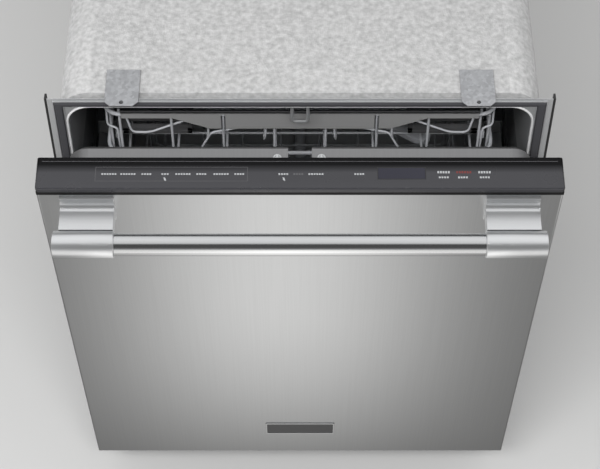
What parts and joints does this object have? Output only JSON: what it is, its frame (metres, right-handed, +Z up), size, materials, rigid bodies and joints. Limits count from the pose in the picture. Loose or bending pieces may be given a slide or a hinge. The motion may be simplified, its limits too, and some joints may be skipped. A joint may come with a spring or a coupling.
{
  "type": "built-in dishwasher",
  "caption": "Built-in dishwasher with a bottom-hinged drop-down door ajar, hidden top controls, a bar handle, and sliding racks, spray arms and filter inside.",
  "frame": {"origin": "on the floor under the middle of the part's box, with the door at its ajar rest pose", "axes": "+X to the right seen from the front, +Y from the door to the rear, +Z up"},
  "size_m": [0.603, 0.7472, 0.8512],
  "materials": {
    "door_steel": "brushed, vertical grain",
    "handle_steel": "fine brushed along the bar",
    "tub_steel": "satin",
    "trim_steel": "bright satin",
    "zinc_steel": "zinc plated",
    "console_black": "satin black",
    "window_black": "polished",
    "black_trim": "matte black",
    "seal_rubber": "matt",
    "felt": "fibre mat",
    "kick_paint": "matt black paint",
    "base_plastic": "moulded",
    "wash_plastic": "moulded grey",
    "pump_plastic": "moulded",
    "rack_coat": "grey nylon coat",
    "basket_plastic": "moulded grey",
    "dispenser_plastic": "moulded grey"
  },
  "bodies": {
    "cabinet": {"base_frame": "base_plastic", "tub": "tub_steel", "tub_gasket": "seal_rubber", "edge_trim": "black_trim", "insulation_blanket": "felt", "latch_strike": "trim_steel", "toe_kick": "kick_paint", "sump": "wash_plastic", "filter_plate": "tub_steel", "heater_element": "zinc_steel", "riser_tube": "wash_plastic", "circulation_pump": "pump_plastic", "drain_pump": "pump_plastic", "inlet_valve": "pump_plastic", "junction_box": "zinc_steel", "mount_bracket_left": "zinc_steel", "mount_bracket_right": "zinc_steel", "hinge_cassette_left": "zinc_steel", "hinge_cassette_right": "zinc_steel", "rail_outer_left": "trim_steel", "rail_outer_right": "trim_steel"},
    "door": {"door_panel": "door_steel", "door_liner": "tub_steel", "door_mat": "felt", "console": "console_black", "display_window": "window_black", "latch_housing": "black_trim", "handle_bar": "handle_steel", "handle_post_left": "handle_steel", "handle_post_right": "handle_steel", "hinge_arm_left": "zinc_steel", "hinge_arm_right": "zinc_steel", "dispenser": "dispenser_plastic"},
    "latch_hook": {"latch_hook": "zinc_steel"},
    "dispenser_lid": {"dispenser_lid": "dispenser_plastic"},
    "rinse_cap": {"rinse_cap": "dispenser_plastic"},
    "upper_rack": {"upper_rack": "rack_coat", "rack_trim": "trim_steel", "upper_feed": "wash_plastic", "rail_inner_left": "trim_steel", "rail_inner_right": "trim_steel"},
    "cup_shelf_left": {"cup_shelf_left": "basket_plastic"},
    "cup_shelf_right": {"cup_shelf_right": "basket_plastic"},
    "upper_spray_arm": {"upper_spray_arm": "wash_plastic"},
    "rail_middle_left": {"rail_middle_left": "trim_steel"},
    "rail_middle_right": {"rail_middle_right": "trim_steel"},
    "lower_rack": {"lower_rack": "rack_coat"},
    "tine_row": {"tine_row": "rack_coat"},
    "cutlery_basket": {"cutlery_basket": "basket_plastic"},
    "wheel_front_left": {"wheel_front_left": "basket_plastic"},
    "wheel_rear_left": {"wheel_rear_left": "basket_plastic"},
    "wheel_front_right": {"wheel_front_right": "basket_plastic"},
    "wheel_rear_right": {"wheel_rear_right": "basket_plastic"},
    "lower_spray_arm": {"lower_spray_arm": "wash_plastic"},
    "filter_cup": {"filter_cup": "wash_plastic"},
    "float_cap": {"float_cap": "wash_plastic"},
    "foot_front_left": {"foot_front_left": "zinc_steel"},
    "foot_front_right": {"foot_front_right": "zinc_steel"},
    "foot_rear_left": {"foot_rear_left": "zinc_steel"},
    "foot_rear_right": {"foot_rear_right": "zinc_steel"}
  },
  "joints": [
    {"name": "door_hinge", "type": "hinge", "parent": "cabinet", "child": "door", "pos_m": [0, -0.1934, 0.134], "axis": [1, 0, 0], "range_deg": [-6.2, 83.8], "stiffness_Nm_per_rad": 18, "springref_deg": -6.2},
    {"name": "latch_hook_pivot", "type": "hinge", "parent": "door", "child": "latch_hook", "pos_m": [0, -0.27393, 0.8012], "axis": [-1, 0, 0], "range_deg": [0, 12], "stiffness_Nm_per_rad": 0.2, "springref_deg": -17.19},
    {"name": "dispenser_lid_hinge", "type": "hinge", "parent": "door", "child": "dispenser_lid", "pos_m": [-0.038, -0.17973, 0.43222], "axis": [-1, 0, 0], "range_deg": [0, 105]},
    {"name": "rinse_cap_turn", "type": "hinge", "parent": "door", "child": "rinse_cap", "pos_m": [0.046, -0.18714, 0.47266], "axis": [0, 0.9942, 0.108], "range_deg": [0, 90]},
    {"name": "upper_rack_slide", "type": "slide", "parent": "cabinet", "child": "upper_rack", "axis": [0, -1, 0], "range_m": [-0.0283, 0.3804]},
    {"name": "rail_middle_left_slide", "type": "slide", "parent": "cabinet", "child": "rail_middle_left", "axis": [0, -1, 0], "range_m": [-0.0142, 0.1903]},
    {"name": "rail_middle_right_slide", "type": "slide", "parent": "cabinet", "child": "rail_middle_right", "axis": [0, -1, 0], "range_m": [-0.0142, 0.1903]},
    {"name": "cup_shelf_left_hinge", "type": "hinge", "parent": "upper_rack", "child": "cup_shelf_left", "pos_m": [-0.2292, -0.00753, 0.702], "axis": [0, -1, 0], "range_deg": [0, 86]},
    {"name": "cup_shelf_right_hinge", "type": "hinge", "parent": "upper_rack", "child": "cup_shelf_right", "pos_m": [0.2292, -0.00753, 0.702], "axis": [0, 1, 0], "range_deg": [0, 86]},
    {"name": "upper_spray_arm_spin", "type": "hinge", "parent": "upper_rack", "child": "upper_spray_arm", "pos_m": [0, 0.08097, 0.6087], "axis": [0, 0, 1], "continuous": true},
    {"name": "lower_rack_slide", "type": "slide", "parent": "cabinet", "child": "lower_rack", "axis": [0, -1, 0], "range_m": [-0.0077, 0.1025]},
    {"name": "tine_row_fold", "type": "hinge", "parent": "lower_rack", "child": "tine_row", "pos_m": [0, 0.14303, 0.2148], "axis": [-1, 0, 0], "range_deg": [0, 80]},
    {"name": "cutlery_basket_lift", "type": "slide", "parent": "lower_rack", "child": "cutlery_basket", "axis": [0, 0, 1], "range_m": [0, 0.12]},
    {"name": "wheel_front_left_spin", "type": "hinge", "parent": "lower_rack", "child": "wheel_front_left", "pos_m": [-0.261, -0.03097, 0.1913], "axis": [1, 0, 0], "continuous": true},
    {"name": "wheel_rear_left_spin", "type": "hinge", "parent": "lower_rack", "child": "wheel_rear_left", "pos_m": [-0.261, 0.20503, 0.1913], "axis": [1, 0, 0], "continuous": true},
    {"name": "wheel_front_right_spin", "type": "hinge", "parent": "lower_rack", "child": "wheel_front_right", "pos_m": [0.261, -0.03097, 0.1913], "axis": [1, 0, 0], "continuous": true},
    {"name": "wheel_rear_right_spin", "type": "hinge", "parent": "lower_rack", "child": "wheel_rear_right", "pos_m": [0.261, 0.20503, 0.1913], "axis": [1, 0, 0], "continuous": true},
    {"name": "lower_spray_arm_spin", "type": "hinge", "parent": "cabinet", "child": "lower_spray_arm", "pos_m": [0, 0.0906, 0.172], "axis": [0, 0, 1], "continuous": true},
    {"name": "filter_cup_twist", "type": "hinge", "parent": "cabinet", "child": "filter_cup", "pos_m": [-0.058, 0.0406, 0.134], "axis": [0, 0, 1], "range_deg": [0, 90]},
    {"name": "float_rise", "type": "slide", "parent": "cabinet", "child": "float_cap", "axis": [0, 0, 1], "range_m": [0, 0.01]},
    {"name": "foot_front_left_level", "type": "slide", "parent": "cabinet", "child": "foot_front_left", "axis": [0, 0, -1], "range_m": [0, 0.025]},
    {"name": "foot_front_right_level", "type": "slide", "parent": "cabinet", "child": "foot_front_right", "axis": [0, 0, -1], "range_m": [0, 0.025]},
    {"name": "foot_rear_left_level", "type": "slide", "parent": "cabinet", "child": "foot_rear_left", "axis": [0, 0, -1], "range_m": [0, 0.025]},
    {"name": "foot_rear_right_level", "type": "slide", "parent": "cabinet", "child": "foot_rear_right", "axis": [0, 0, -1], "range_m": [0, 0.025]}
  ],
  "couplings": [
    {"joint": "upper_rack_slide", "follows": "door_hinge", "m_per_rad": 0.26},
    {"joint": "rail_middle_left_slide", "follows": "door_hinge", "m_per_rad": 0.13},
    {"joint": "rail_middle_right_slide", "follows": "door_hinge", "m_per_rad": 0.13},
    {"joint": "lower_rack_slide", "follows": "door_hinge", "m_per_rad": 0.07},
    {"joint": "wheel_front_left_spin", "follows": "door_hinge", "ratio": 4.1176},
    {"joint": "wheel_rear_left_spin", "follows": "door_hinge", "ratio": 4.1176},
    {"joint": "wheel_front_right_spin", "follows": "door_hinge", "ratio": 4.1176},
    {"joint": "wheel_rear_right_spin", "follows": "door_hinge", "ratio": 4.1176}
  ]
}
